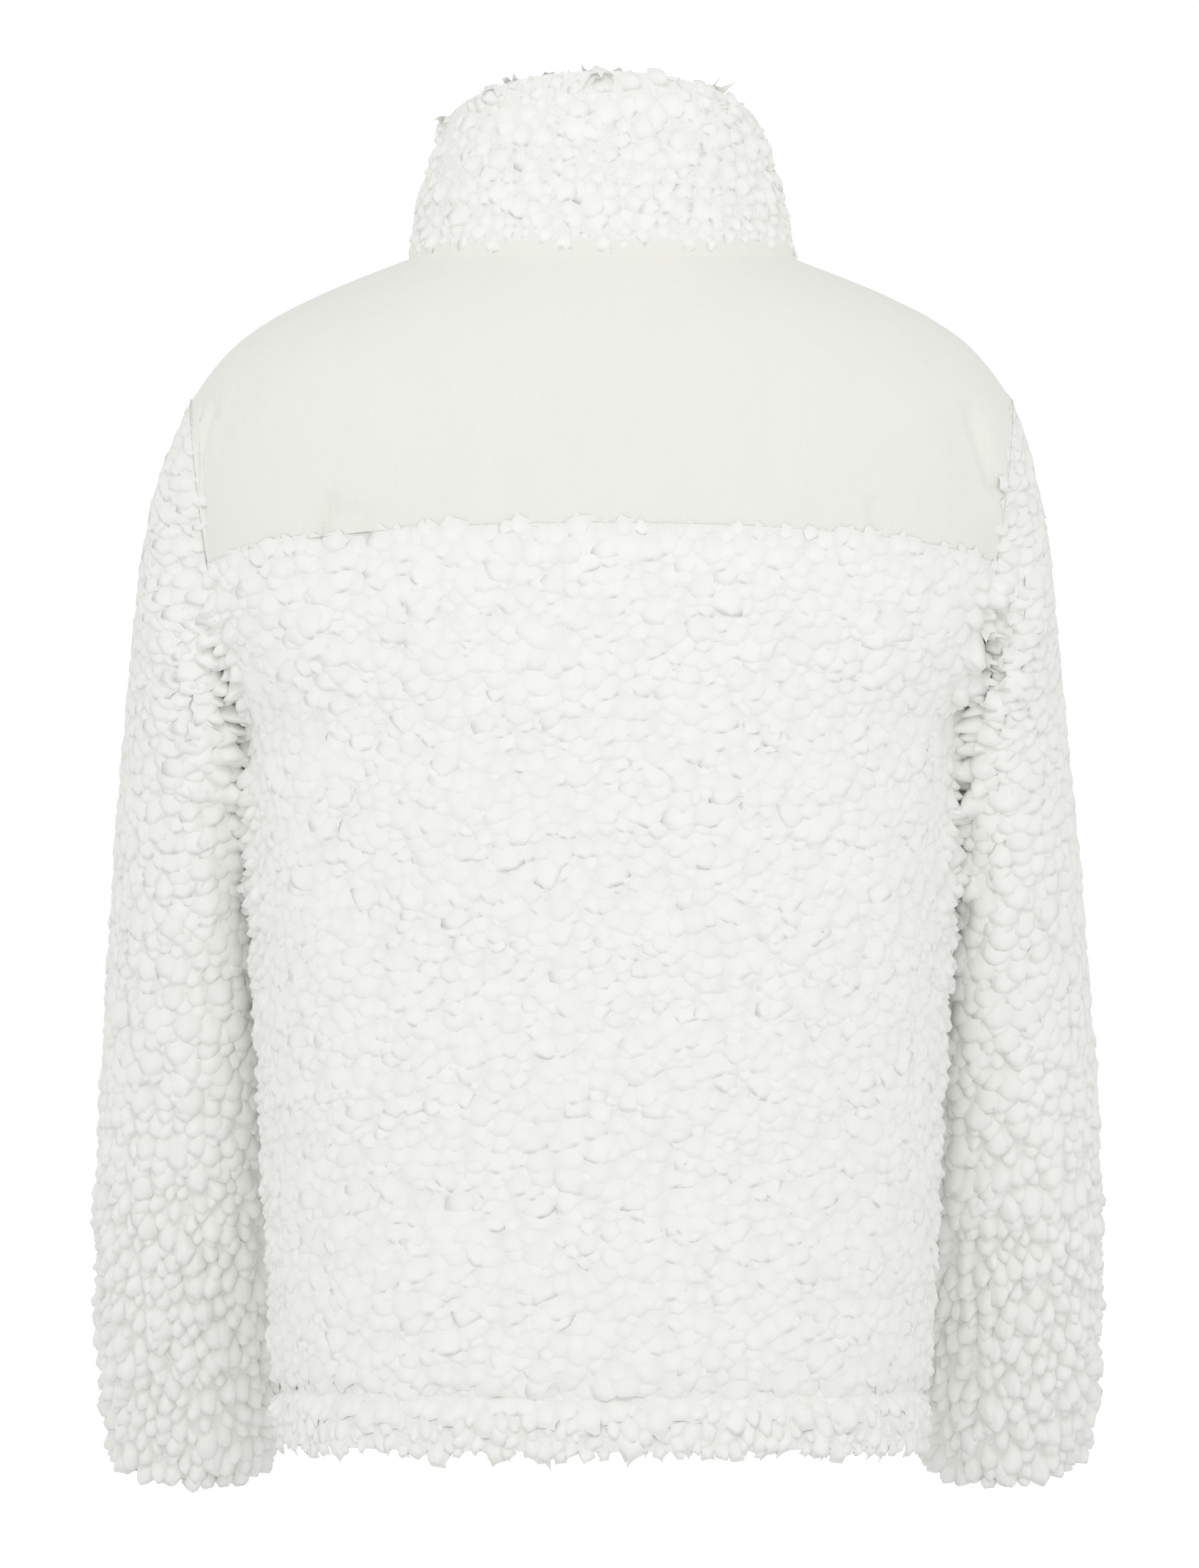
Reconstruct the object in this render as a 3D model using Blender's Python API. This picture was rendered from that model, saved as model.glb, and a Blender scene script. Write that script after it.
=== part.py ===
"""Sherpa fleece pullover with a smooth yoke, filled out as if worn, with nobody inside.

Metres, +Z up. The front faces -Y and the wearer's left is at +X. The origin is the middle
of the neck, level with the tops of the shoulders beside it, where the wearer carries it.

The torso is one smooth surface: a stack of ovals read from TORSO, placed by an angle round
the body and a height. The neck, the armholes and the yoke seams are lines on that surface.
Each cut piece is a grid of faces between those lines, extruded inwards for its wall. The
sleeves are rings that start on the armhole lines, and the collar is a funnel that starts on
the neck line.

An angle round the body is measured from the middle of one face, the back or the front, and
is positive on the wearer's left. A turn round an armhole or a sleeve is 0 at its top, a
quarter turn at its back and half a turn at the underarm.
"""

import math
from collections import namedtuple

import bmesh
import bpy
from mathutils import Vector

GARMENT = "sherpa_pullover"
BACK, FRONT = 1.0, -1.0
LEFT, RIGHT = 1.0, -1.0

# Walls, and what keeps the pieces apart.
SHERPA_WALL = 0.0065
YOKE_WALL = 0.0020
NECK_BAND_WALL = 0.0030
COLLAR_WALL = 0.0075
PILE_LIFT = 0.0025  # sherpa stands this far above the smooth cloth beside it
SEAM_GAP = 0.0003
SHOULDER_GAP = 0.00045
ARMHOLE_GAP = 0.0006
NECK_GAP = 0.0004

# The torso, as ovals. Beside the armholes an oval takes in the top of the sleeve.
CENTRE_Y = -0.005  # the shoulder ridges and the side seams
Oval = namedtuple("Oval", "height half_width back front squareness")
TORSO = [
    Oval(0.010, 0.0850, 0.0700, 0.0100, 0.00),
    Oval(-0.004, 0.1045, 0.0770, 0.0300, 0.00),
    Oval(-0.010, 0.1215, 0.0830, 0.0460, 0.00),
    Oval(-0.017, 0.1390, 0.0890, 0.0560, 0.01),
    Oval(-0.033, 0.1740, 0.0985, 0.0700, 0.02),
    Oval(-0.048, 0.1970, 0.1055, 0.0780, 0.04),
    Oval(-0.064, 0.2115, 0.1110, 0.0860, 0.06),
    Oval(-0.079, 0.2215, 0.1155, 0.0945, 0.07),
    Oval(-0.093, 0.2295, 0.1190, 0.1025, 0.08),
    Oval(-0.120, 0.2340, 0.1240, 0.1145, 0.08),
    Oval(-0.150, 0.2325, 0.1275, 0.1225, 0.08),
    Oval(-0.180, 0.2260, 0.1295, 0.1280, 0.08),
    Oval(-0.210, 0.2150, 0.1305, 0.1305, 0.08),
    Oval(-0.235, 0.2035, 0.1310, 0.1315, 0.07),
    Oval(-0.256, 0.1925, 0.1310, 0.1315, 0.06),
    Oval(-0.280, 0.1893, 0.1300, 0.1305, 0.06),
    Oval(-0.320, 0.1870, 0.1280, 0.1290, 0.06),
    Oval(-0.400, 0.1835, 0.1250, 0.1255, 0.06),
    Oval(-0.500, 0.1785, 0.1230, 0.1235, 0.06),
    Oval(-0.600, 0.1745, 0.1230, 0.1235, 0.06),
    Oval(-0.650, 0.1730, 0.1230, 0.1235, 0.06),
]

# Soft folds that hang from the yoke: where each starts and ends, and how deep it is.
Fold = namedtuple("Fold", "face x_top x_foot top foot depth half_width")
FOLDS = [
    Fold(BACK, 0.127, 0.120, -0.140, -0.470, 0.0070, 0.024),
    Fold(BACK, -0.122, -0.123, -0.140, -0.330, 0.0050, 0.022),
    Fold(FRONT, 0.108, 0.118, -0.145, -0.400, 0.0060, 0.024),
    Fold(FRONT, -0.119, -0.112, -0.150, -0.500, 0.0050, 0.022),
]
FOLD_RUN_IN = 0.030
FOLD_RUN_OUT = 0.120

# Lines on the torso.
NECK_HEIGHT = -0.004
NECK_BACK_DROP = 0.002
NECK_FRONT_DROP = 0.054
SHOULDER_SEAM_AT_NECK = math.radians(100)
SHOULDER_SEAM_AT_ARMHOLE = math.radians(12)  # in front of the armhole's top
ARMHOLE_TOP = -0.078
ARMHOLE_FOOT = -0.256
ARMHOLE_BOW = 0.004
YOKE_SEAM_MIDDLE = -0.149
YOKE_SEAM_END = -0.169
YOKE_CORNER_AT_NECK = math.radians(52)
HEM = -0.640
HEM_STITCHING = -0.611
HEM_GROOVE = 0.0020
HEM_GROOVE_REACH = 0.007

# The funnel: a neck band, then the collar, up to a rim that is highest at the back.
RIM_HALF_WIDTH = 0.0885
RIM_HALF_DEPTH = 0.0680
RIM_Y = -0.010
RIM_HEIGHT = 0.063
RIM_TILT = 0.031
FUNNEL_BULGE = 0.0030
BAND_SHARE = 0.078  # of the funnel's height

# The sleeve, as rings from the armhole to the cuff.
Ring = namedtuple("Ring", "along outer_x outer_z inner_x inner_z centre_y half_depth pitch")
SLEEVE = [
    Ring(0.000, 0.2208, -0.0780, 0.1945, -0.2560, -0.005, 0.052, 0.00),
    Ring(0.055, 0.2385, -0.1100, 0.1965, -0.2640, -0.007, 0.055, 0.01),
    Ring(0.120, 0.2485, -0.1520, 0.1930, -0.2790, -0.012, 0.059, 0.02),
    Ring(0.200, 0.2540, -0.1950, 0.1895, -0.3000, -0.023, 0.063, 0.04),
    Ring(0.300, 0.2590, -0.2500, 0.1865, -0.3310, -0.040, 0.066, 0.08),
    Ring(0.420, 0.2650, -0.3200, 0.1820, -0.3780, -0.060, 0.065, 0.13),
    Ring(0.560, 0.2705, -0.4050, 0.1730, -0.4420, -0.083, 0.061, 0.20),
    Ring(0.700, 0.2745, -0.4900, 0.1690, -0.5110, -0.109, 0.056, 0.28),
    Ring(0.850, 0.2755, -0.5740, 0.1695, -0.5840, -0.139, 0.051, 0.37),
    Ring(0.940, 0.2735, -0.6210, 0.1725, -0.6250, -0.156, 0.048, 0.42),
    Ring(1.000, 0.2690, -0.6480, 0.1775, -0.6510, -0.166, 0.046, 0.46),
]
SLEEVE_BOW = 0.005
LEFT_SLEEVE_SWING = 0.004  # the left sleeve hangs this much further out at its cuff
RIGHT_SLEEVE_PRESS = 0.006  # and the right one is this much flatter at the upper arm
PRESS_ALONG = 0.22
PRESS_REACH = 0.28

# Soft hollows in the sleeves: below the armhole at the back, and across the bend of the elbow.
Hollow = namedtuple("Hollow", "side turn along depth turn_reach along_reach")
HOLLOWS = [
    Hollow(LEFT, 66, 0.08, 0.0050, 26, 0.060),
    Hollow(RIGHT, 70, 0.08, 0.0050, 26, 0.060),
    Hollow(LEFT, 262, 0.47, 0.0060, 50, 0.035),
    Hollow(LEFT, 285, 0.57, 0.0050, 45, 0.035),
    Hollow(RIGHT, 275, 0.49, 0.0060, 50, 0.035),
    Hollow(RIGHT, 255, 0.59, 0.0045, 45, 0.035),
]

# How finely each piece is divided.
PANEL_COLUMNS = 20
ARMHOLE_ROWS = 5
SIDE_ROWS = 7
YOKE_ROWS = 6
YOKE_ARMHOLE_COLUMNS = {BACK: 5, FRONT: 4}
COLLAR_ROWS = 5
SLEEVE_ROWS = 17

Finish = namedtuple("Finish", "colour roughness")
FINISHES = {
    "sherpa": Finish((0.90, 0.90, 0.87, 1.0), 0.95),
    "smooth_fleece": Finish((0.85, 0.85, 0.80, 1.0), 0.85),
    "neck_tape": Finish((0.84, 0.83, 0.78, 1.0), 0.80),
}


def clear_scene():
    for thing in list(bpy.data.objects):
        bpy.data.objects.remove(thing)


def mix(start, end, share):
    return start + (end - start) * share


def bell(distance, reach):
    return math.exp(-((distance / reach) ** 2))


def ramp(share):
    """0 to 1, level at both ends."""
    share = min(max(share, 0.0), 1.0)
    return share * share * (3 - 2 * share)


def read(table, column, at):
    """A smooth curve through one column of a table, read at a value of its first column."""
    keys = [row[0] for row in table]
    values = [getattr(row, column) for row in table]
    falling = keys[0] > keys[-1]
    last = len(keys) - 2
    start = next((k for k in range(last) if (at > keys[k + 1]) == falling), last)

    def slope(k):
        low, high = max(k - 1, 0), min(k + 1, last + 1)
        return (values[high] - values[low]) / (keys[high] - keys[low])

    width = keys[start + 1] - keys[start]
    t = (at - keys[start]) / width
    eased = t * t * (3 - 2 * t)
    leaving = t * (1 - t) ** 2 * slope(start) * width
    arriving = t * t * (t - 1) * slope(start + 1) * width
    return mix(values[start], values[start + 1], eased) + leaving + arriving


# The torso's surface.


def facing(face, angle):
    """An angle from the middle of a face, as an angle from the middle of the back."""
    return angle if face == BACK else math.pi - angle


def oval_at(height):
    return Oval(height, *(read(TORSO, column, height) for column in Oval._fields[1:]))


def oval_x(oval, angle):
    return oval.half_width * math.sin(angle) * (1 + oval.squareness * math.cos(angle) ** 2)


def fold_depth(face, x, height):
    depth = 0.0
    for fold in FOLDS:
        if fold.face == face:
            down = (height - fold.top) / (fold.foot - fold.top)
            middle = mix(fold.x_top, fold.x_foot, down)
            fade_in = ramp((fold.top - height) / FOLD_RUN_IN)
            fade_out = ramp((height - fold.foot) / FOLD_RUN_OUT)
            depth += fold.depth * fade_in * fade_out * bell(x - middle, fold.half_width)
    return depth


def torso(angle, height):
    """The point of the torso at an angle from the middle of the back."""
    oval = oval_at(height)
    x = oval_x(oval, angle)
    towards = math.cos(angle)
    face = BACK if towards > 0 else FRONT
    depth = oval.back if face == BACK else oval.front
    depth -= fold_depth(face, x, height)
    squared = 1 + oval.squareness * math.sin(angle) ** 2
    return Vector((x, CENTRE_Y + depth * towards * squared, height))


def torso_normal(angle, height):
    step = 1e-4
    round_body = torso(angle + step, height) - torso(angle - step, height)
    upwards = torso(angle, height + step) - torso(angle, height - step)
    return upwards.cross(round_body).normalized()


def angle_at(x, height):
    """The angle, up to a quarter turn, at which the torso is x from its middle."""
    oval = oval_at(height)
    low, high = 0.0, math.pi / 2
    for _ in range(40):
        middle = (low + high) / 2
        if oval_x(oval, middle) < x:
            low = middle
        else:
            high = middle
    return (low + high) / 2


# Lines on the torso. Each gives an angle and a height.


def neck_line(face, angle):
    towards_back = face * math.cos(angle)
    drop = NECK_BACK_DROP if towards_back > 0 else NECK_FRONT_DROP
    height = NECK_HEIGHT - drop * towards_back**2
    half_width = oval_at(NECK_HEIGHT).half_width
    on_torso = angle_at(half_width * abs(math.sin(angle)), height)
    if math.cos(angle) < 0:
        on_torso = math.pi - on_torso
    return math.copysign(on_torso, angle), height


def armhole_height(turn):
    middle = (ARMHOLE_TOP + ARMHOLE_FOOT) / 2
    return middle + (ARMHOLE_TOP - middle) * math.cos(turn)


def armhole_turn(height):
    middle = (ARMHOLE_TOP + ARMHOLE_FOOT) / 2
    share = (height - middle) / (ARMHOLE_TOP - middle)
    return math.acos(min(max(share, -1.0), 1.0))


def armhole_line(turn):
    """The armhole of one face. A negative turn lies past the top, on the other face."""
    share = (1 - math.cos(turn)) / 2
    top, foot = oval_at(ARMHOLE_TOP).half_width, oval_at(ARMHOLE_FOOT).half_width
    x = mix(top, foot, share) + ARMHOLE_BOW * math.sin(turn) ** 2
    height = armhole_height(turn)
    angle = angle_at(x, height)
    return (angle if turn >= 0 else math.pi - angle), height


def side_angle(height):
    """The angle of a body panel's edge: the armhole, and the side seam below it."""
    if height <= ARMHOLE_FOOT:
        return math.pi / 2
    return armhole_line(armhole_turn(height))[0]


def yoke_seam(across):
    """The seam under the yoke, for a share of its width from -1 to 1."""
    height = mix(YOKE_SEAM_MIDDLE, YOKE_SEAM_END, across**2)
    return side_angle(height) * across, height


def across_panel(column):
    return 1 - 2 * column / PANEL_COLUMNS


YokeColumn = namedtuple("YokeColumn", "neck_angle angle height")


def yoke_columns(face):
    """The neck end and the outer end of each line down a yoke, from left to right."""
    steps = YOKE_ARMHOLE_COLUMNS[face]
    shoulder = SHOULDER_SEAM_AT_NECK if face == BACK else math.pi - SHOULDER_SEAM_AT_NECK
    first_turn = -face * SHOULDER_SEAM_AT_ARMHOLE
    corner_turn = armhole_turn(YOKE_SEAM_END)
    beside_armhole = []
    for step in range(steps):
        share = step / steps
        line = armhole_line(mix(first_turn, corner_turn, share))
        beside_armhole.append(YokeColumn(mix(shoulder, YOKE_CORNER_AT_NECK, share), *line))
    over_seam = []
    for column in range(PANEL_COLUMNS + 1):
        across = across_panel(column)
        over_seam.append(YokeColumn(YOKE_CORNER_AT_NECK * across, *yoke_seam(across)))
    mirrored = [YokeColumn(-c.neck_angle, -c.angle, c.height) for c in beside_armhole]
    return beside_armhole + over_seam + mirrored[::-1]


# Building.


def new_material(name):
    finish = FINISHES[name]
    material = bpy.data.materials.new(name)
    material.use_nodes = True
    shader = material.node_tree.nodes["Principled BSDF"]
    shader.inputs["Base Color"].default_value = finish.colour
    shader.inputs["Roughness"].default_value = finish.roughness
    shader.inputs["Metallic"].default_value = 0.0
    material.diffuse_color = finish.colour
    return material


def walled_grid(name, columns, rows, place, material, ring=False):
    """A grid of faces with a wall. place(column, row) gives the outer point and the inner one.

    A ring's last column meets its first.
    """
    shape = bmesh.new()
    bmesh.ops.create_grid(shape, x_segments=columns, y_segments=rows, size=0.5)
    grown = bmesh.ops.extrude_face_region(shape, geom=shape.faces[:], use_keep_orig=True)
    inner_layer = [item for item in grown["geom"] if isinstance(item, bmesh.types.BMVert)]
    bmesh.ops.translate(shape, verts=inner_layer, vec=(0, 0, -1))
    if ring:
        ends = [f for f in shape.faces if len({round(v.co.x, 4) for v in f.verts}) == 1]
        bmesh.ops.delete(shape, geom=ends, context="FACES_ONLY")
    for vert in shape.verts:
        column = round((vert.co.x + 0.5) * columns)
        row = round((vert.co.y + 0.5) * rows)
        outer, inner = place(column, row)
        vert.co = inner if vert.co.z < -0.5 else outer
    bmesh.ops.remove_doubles(shape, verts=shape.verts, dist=1e-5)
    bmesh.ops.recalc_face_normals(shape, faces=shape.faces)
    mesh = bpy.data.meshes.new(name)
    shape.to_mesh(mesh)
    shape.free()
    mesh.shade_smooth()
    mesh.set_sharp_from_angle(angle=math.radians(50))
    mesh.materials.append(material)
    piece = bpy.data.objects.new(name, mesh)
    bpy.data.collections[GARMENT].objects.link(piece)
    return piece


def build_body_panel(name, face, material):
    """The front or back below the yoke, with the stitched groove of its turned hem."""
    beside_armhole = []
    for row in range(ARMHOLE_ROWS + 1):
        turn = mix(armhole_turn(YOKE_SEAM_END), math.pi, row / ARMHOLE_ROWS)
        fallen = (armhole_height(turn) - YOKE_SEAM_END) / (ARMHOLE_FOOT - YOKE_SEAM_END)
        beside_armhole.append(fallen)
    groove_top = HEM_STITCHING + HEM_GROOVE_REACH
    below = [mix(ARMHOLE_FOOT, groove_top, (k + 1) / SIDE_ROWS) for k in range(SIDE_ROWS)]
    below += [HEM_STITCHING, HEM_STITCHING - HEM_GROOVE_REACH, HEM]

    def place(column, row):
        across = across_panel(column)
        if row <= ARMHOLE_ROWS:
            seam = yoke_seam(across)[1] - SEAM_GAP
            height = mix(seam, ARMHOLE_FOOT, beside_armhole[row])
        else:
            height = below[row - ARMHOLE_ROWS - 1]
        edge = side_angle(height) - SEAM_GAP / 2 / oval_at(height).back
        angle = facing(face, edge * across)
        normal = torso_normal(angle, height)
        groove = HEM_GROOVE if height == HEM_STITCHING else 0.0
        point = torso(angle, height)
        outer = point + normal * (PILE_LIFT - groove)
        inner = point + normal * (PILE_LIFT - SHERPA_WALL)
        return outer, inner

    rows = ARMHOLE_ROWS + len(below)
    return walled_grid(name, PANEL_COLUMNS, rows, place, material)


def build_yoke(name, face, material):
    """The smooth piece from the neck to the armholes and the seam under the yoke."""
    columns = yoke_columns(face)

    def place(column, row):
        ends = columns[column]
        neck_angle, neck_height = neck_line(face, ends.neck_angle)
        length = (torso(ends.angle, ends.height) - torso(neck_angle, neck_height)).length
        down = min(row / YOKE_ROWS, 1 - SEAM_GAP / 2 / length)
        angle = mix(neck_angle, ends.angle, down)
        if column in (0, len(columns) - 1):
            angle -= math.copysign(SHOULDER_GAP / 2 / oval_at(ends.height).back, angle)
        height = mix(neck_height, ends.height, down)
        point = torso(facing(face, angle), height)
        return point, point - torso_normal(facing(face, angle), height) * YOKE_WALL

    return walled_grid(name, len(columns) - 1, YOKE_ROWS, place, material)


def neck_ring():
    """The angles of both yokes round the neck, once round, each with its face."""
    back = [(BACK, column.neck_angle) for column in yoke_columns(BACK)]
    front = [(FRONT, column.neck_angle) for column in yoke_columns(FRONT)]
    return back + front[::-1][1:]


def funnel(face, angle, up):
    """The band and collar's surface, from the neck line at 0 to the rim at 1."""
    on_torso, height = neck_line(face, angle)
    foot = torso(facing(face, on_torso), height)
    round_neck = facing(face, angle)
    outwards = Vector((math.sin(round_neck), math.cos(round_neck), 0))
    rim = Vector((RIM_HALF_WIDTH * outwards.x, RIM_Y + RIM_HALF_DEPTH * outwards.y, 0))
    rim.z = RIM_HEIGHT + RIM_TILT * outwards.y
    return foot.lerp(rim, up) + outwards * FUNNEL_BULGE * 4 * up * (1 - up)


def funnel_normal(face, angle, up):
    step = 1e-3
    round_neck = funnel(face, angle + step, up) - funnel(face, angle - step, up)
    upwards = funnel(face, angle, up + step) - funnel(face, angle, up - step)
    return upwards.cross(round_neck).normalized() * face


def build_funnel_piece(name, start, end, rows, wall, material):
    """A ring of the funnel between two shares of its height."""
    ring = neck_ring()

    def place(column, row):
        face, angle = ring[column % (len(ring) - 1)]
        up = mix(start, end, row / rows)
        normal = funnel_normal(face, angle, up)
        point = funnel(face, angle, up) + Vector((0, 0, NECK_GAP))
        return point, point - normal * wall

    return walled_grid(name, len(ring) - 1, rows, place, material, ring=True)


# The sleeves.


def sleeve_turns():
    """The turns of the corners that the yokes and body panels leave on an armhole."""
    corner = armhole_turn(YOKE_SEAM_END)
    seam = -SHOULDER_SEAM_AT_ARMHOLE
    stretches = [
        (seam, corner, YOKE_ARMHOLE_COLUMNS[BACK]),
        (corner, math.pi, ARMHOLE_ROWS),
        (math.pi, 2 * math.pi - corner, ARMHOLE_ROWS),
        (2 * math.pi - corner, 2 * math.pi + seam, YOKE_ARMHOLE_COLUMNS[FRONT]),
    ]
    return [
        mix(start, end, step / steps)
        for start, end, steps in stretches
        for step in range(steps)
    ]


def hollow_depth(side, turn, along):
    depth = 0.0
    for hollow in HOLLOWS:
        if hollow.side == side:
            off = (math.degrees(turn) - hollow.turn + 180) % 360 - 180
            near = bell(off, hollow.turn_reach) * bell(along - hollow.along, hollow.along_reach)
            depth += hollow.depth * near
    return depth


def sleeve(side, turn, along):
    """The point of a sleeve at a turn and a share of its length."""
    ring = Ring(along, *(read(SLEEVE, column, along) for column in Ring._fields[1:]))
    share = (1 + math.cos(turn)) / 2
    backwards = math.sin(turn)
    pressed = hollow_depth(side, turn, along)
    x = mix(ring.inner_x, ring.outer_x, share) + SLEEVE_BOW * backwards**2 * (1 - along)
    if side == LEFT:
        x += LEFT_SLEEVE_SWING * along
    else:
        x -= RIGHT_SLEEVE_PRESS * share * bell(along - PRESS_ALONG, PRESS_REACH)
    x -= pressed * math.cos(turn)
    z = mix(ring.inner_z, ring.outer_z, share) - ring.pitch * ring.half_depth * backwards
    return Vector((side * x, ring.centre_y + (ring.half_depth - pressed) * backwards, z))


def sleeve_normal(side, turn, along):
    step = 1e-3
    round_arm = sleeve(side, turn + step, along) - sleeve(side, turn - step, along)
    downwards = sleeve(side, turn, along + step) - sleeve(side, turn, max(along - step, 0))
    return downwards.cross(round_arm).normalized() * side


def armhole_edge(side, turn):
    """The sleeve's first ring: the armhole line, a seam's gap off the panels beside it."""

    def on_left(at):
        at = at % (2 * math.pi)
        face, own = (BACK, at) if at <= math.pi else (FRONT, 2 * math.pi - at)
        angle, height = armhole_line(own)
        return facing(face, angle), height

    step = 1e-3
    angle, height = on_left(turn)
    normal = torso_normal(angle, height)
    forwards = torso(*on_left(turn + step)) - torso(*on_left(turn - step))
    into_sleeve = forwards.cross(normal).normalized()
    point = torso(angle, height) + normal * PILE_LIFT + into_sleeve * ARMHOLE_GAP
    for vector in (point, normal, into_sleeve):
        vector.x *= side
    return point, normal, into_sleeve


def build_sleeve(name, side, material):
    turns = sleeve_turns()

    def place(column, row):
        turn = turns[column % len(turns)]
        if row > 0:
            along = row / SLEEVE_ROWS
            point = sleeve(side, turn, along)
            return point, point - sleeve_normal(side, turn, along) * SHERPA_WALL
        point, off_torso, into_sleeve = armhole_edge(side, turn)
        off_sleeve = sleeve_normal(side, turn, 1 / SLEEVE_ROWS)
        creased = 1 - off_torso.dot(off_sleeve)
        inwards = (into_sleeve * creased - off_torso - off_sleeve).normalized()
        return point, point + inwards * SHERPA_WALL

    return walled_grid(name, len(turns), SLEEVE_ROWS, place, material, ring=True)


def main():
    clear_scene()
    pieces = bpy.data.collections.new(GARMENT)
    bpy.context.scene.collection.children.link(pieces)
    sherpa = new_material("sherpa")
    smooth_fleece = new_material("smooth_fleece")
    neck_tape = new_material("neck_tape")

    build_yoke("back_yoke", BACK, smooth_fleece)
    build_yoke("front_yoke", FRONT, smooth_fleece)
    build_body_panel("back_body", BACK, sherpa)
    build_body_panel("front_body", FRONT, sherpa)
    build_sleeve("sleeve_left", LEFT, sherpa)
    build_sleeve("sleeve_right", RIGHT, sherpa)
    build_funnel_piece("neck_band", 0.0, BAND_SHARE, 1, NECK_BAND_WALL, neck_tape)
    collar_foot = BAND_SHARE + 2 * SEAM_GAP / (RIM_HEIGHT - NECK_HEIGHT)
    build_funnel_piece("collar", collar_foot, 1.0, COLLAR_ROWS, COLLAR_WALL, sherpa)


main()
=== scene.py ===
"""The finish of a sherpa fleece pullover with a smooth yoke, filled out with nobody in it.

Each cut piece is its solid's form made smooth, with the main creases pressed in and the seams
closed. Sherpa pieces are drawn in by the depth of their pile, and the pile stands on them as
many small locks, each rooted in the cloth and falling the way the cloth hangs. A lock is a low
curl on the body, a longer drop on the sleeves and a round clump on the collar, with some nubs
and pointed tufts among them.

Metres, +Z up. The front faces -Y and the wearer's left is at +X.
"""

import math
from collections import namedtuple

import bmesh
import bpy
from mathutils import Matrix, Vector, bvhtree, kdtree, noise


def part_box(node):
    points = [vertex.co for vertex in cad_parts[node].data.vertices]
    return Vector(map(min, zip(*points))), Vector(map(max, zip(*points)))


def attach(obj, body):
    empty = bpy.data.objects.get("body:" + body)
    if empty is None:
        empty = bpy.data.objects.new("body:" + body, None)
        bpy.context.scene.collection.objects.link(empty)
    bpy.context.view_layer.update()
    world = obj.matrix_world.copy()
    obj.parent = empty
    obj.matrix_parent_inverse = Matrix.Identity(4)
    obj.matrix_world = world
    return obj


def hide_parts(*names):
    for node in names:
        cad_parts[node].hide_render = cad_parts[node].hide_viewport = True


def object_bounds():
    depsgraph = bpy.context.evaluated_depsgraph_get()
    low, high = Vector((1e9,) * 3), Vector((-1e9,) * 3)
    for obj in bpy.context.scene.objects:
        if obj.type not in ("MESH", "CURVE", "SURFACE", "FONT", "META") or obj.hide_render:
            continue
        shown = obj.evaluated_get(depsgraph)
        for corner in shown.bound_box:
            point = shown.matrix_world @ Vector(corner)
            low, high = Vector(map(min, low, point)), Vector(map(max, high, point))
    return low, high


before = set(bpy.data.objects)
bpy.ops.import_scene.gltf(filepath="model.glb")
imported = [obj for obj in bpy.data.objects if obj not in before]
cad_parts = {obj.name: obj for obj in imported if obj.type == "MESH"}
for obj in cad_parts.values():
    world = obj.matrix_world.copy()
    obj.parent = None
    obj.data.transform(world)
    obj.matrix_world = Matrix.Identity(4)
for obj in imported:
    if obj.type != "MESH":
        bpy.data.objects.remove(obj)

cad_low, cad_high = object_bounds()

BACK, FRONT = 1.0, -1.0
LEFT, RIGHT = 1.0, -1.0

# The middle of the torso, and where the seams lie on it.
TORSO_MIDDLE = Vector((0, -0.005, -0.30))
ARMHOLE_MIDDLE = Vector((0.208, -0.005, -0.167))
YOKE_CORNER = Vector((0.2125, 0.060, -0.169))
CUFF_MIDDLE = Vector((0.223, -0.166, -0.650))
HEM_STITCHING = -0.611
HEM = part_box("back_body")[0].z


def mix(start, end, share):
    return start + (end - start) * share


def bell(distance, reach):
    return math.exp(-((distance / reach) ** 2))


def ramp(share):
    """0 to 1, level at both ends."""
    share = min(max(share, 0.0), 1.0)
    return share * share * (3 - 2 * share)


# Node trees, for materials and for the pile alike.


class Wire:
    """A socket in a node tree. Arithmetic on it adds Math nodes."""

    def __init__(self, tree, socket):
        self.tree = tree
        self.socket = socket

    def math(self, operation, *values):
        settings = {"operation": operation}
        return add(self.tree, "ShaderNodeMath", settings, dict(enumerate(values)))

    def __add__(self, other):
        return self.math("ADD", self, other)

    def __sub__(self, other):
        return self.math("SUBTRACT", self, other)

    def __rsub__(self, other):
        return self.math("SUBTRACT", other, self)

    def __mul__(self, other):
        return self.math("MULTIPLY", self, other)

    def __gt__(self, other):
        return self.math("GREATER_THAN", self, other)

    def clamped(self):
        return add(self.tree, "ShaderNodeClamp", inputs={0: self})

    __radd__ = __add__
    __rmul__ = __mul__


def add(tree, kind, settings=None, inputs=None, output=0):
    """Adds a node: its settings first, then the values or wires of its sockets."""
    node = tree.nodes.new(kind)
    for name, value in (settings or {}).items():
        setattr(node, name, value)
    for key, value in (inputs or {}).items():
        if isinstance(value, Wire):
            tree.links.new(value.socket, node.inputs[key])
        else:
            node.inputs[key].default_value = value
    return Wire(tree, node.outputs[output])


MIX_FACTOR, MIX_FIRST, MIX_SECOND, MIX_RESULT = 0, 6, 7, 2


def blend(tree, factor, first, second):
    """A mix of two colours."""
    inputs = {MIX_FACTOR: factor, MIX_FIRST: first, MIX_SECOND: second}
    return add(tree, "ShaderNodeMix", {"data_type": "RGBA"}, inputs, MIX_RESULT)


def new_material(name, roughness, sheen):
    """A matt cloth material, and the tree and shader to finish it with."""
    material = bpy.data.materials.new(name)
    material.use_nodes = True
    tree = material.node_tree
    shader = tree.nodes["Principled BSDF"]
    shader.inputs["Roughness"].default_value = roughness
    shader.inputs["Specular IOR Level"].default_value = 0.15
    shader.inputs["Sheen Weight"].default_value = sheen
    shader.inputs["Sheen Roughness"].default_value = 0.5
    return material, tree, shader


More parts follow.
